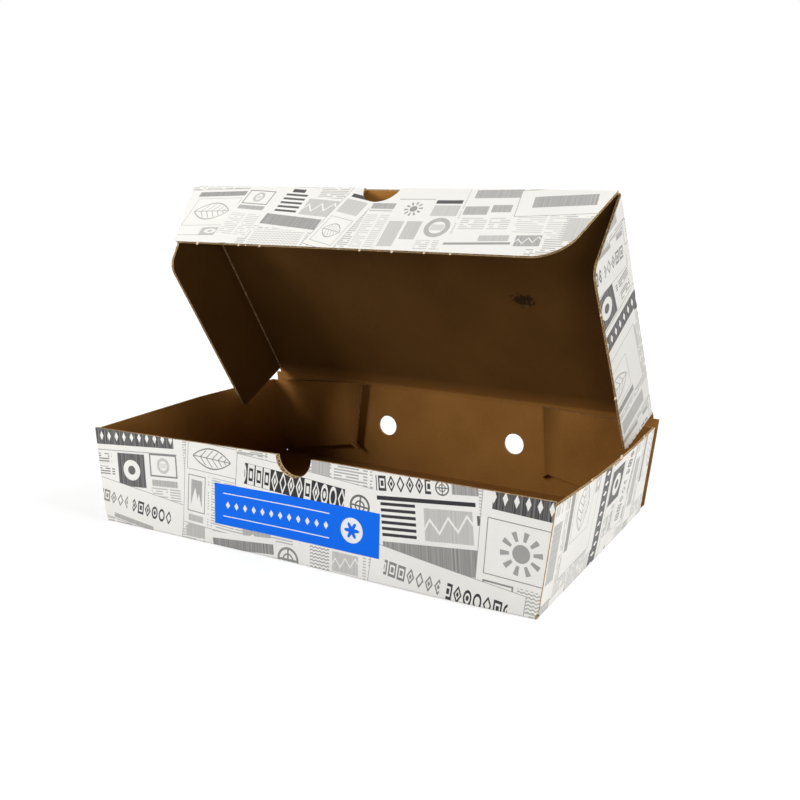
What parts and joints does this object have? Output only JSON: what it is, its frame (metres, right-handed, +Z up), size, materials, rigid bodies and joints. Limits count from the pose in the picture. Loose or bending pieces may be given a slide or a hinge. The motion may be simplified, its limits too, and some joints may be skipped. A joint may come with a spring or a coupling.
{
  "type": "hinged takeaway box",
  "caption": "Folded corrugated takeaway box: flared tray with thumb notch and vented back wall, and a hinged lid whose front and side flaps tuck inside.",
  "frame": {"origin": "centre of the tray's underside, on the ground", "axes": "+X to the right along the box's length, +Y from the front wall to the lid's hinge crease, +Z up"},
  "size_m": [0.3056, 0.182, 0.2102],
  "materials": {
    "tray_board": "matte",
    "lid_board": "matte",
    "flap_board": "matte"
  },
  "bodies": {
    "tray": {"tray": "tray_board"},
    "lid": {"lid": "lid_board"},
    "front_flap": {"front_flap": "flap_board"},
    "left_flap": {"left_flap": "flap_board"},
    "right_flap": {"right_flap": "flap_board"}
  },
  "joints": [
    {"name": "lid_hinge", "type": "hinge", "parent": "tray", "child": "lid", "pos_m": [0, 0.09025, 0.06525], "axis": [-1, 0, 0], "range_deg": [-57, 123]},
    {"name": "front_flap_fold", "type": "hinge", "parent": "lid", "child": "front_flap", "pos_m": [0, -0.00343, 0.2095], "axis": [1, 0, 0], "range_deg": [-99, 11]},
    {"name": "left_flap_fold", "type": "hinge", "parent": "lid", "child": "left_flap", "pos_m": [-0.14966, 0.09025, 0.06525], "axis": [0, -0.5446, 0.8387], "range_deg": [0, 30]},
    {"name": "right_flap_fold", "type": "hinge", "parent": "lid", "child": "right_flap", "pos_m": [0.14966, 0.09025, 0.06525], "axis": [0, 0.5446, -0.8387], "range_deg": [0, 30]}
  ]
}
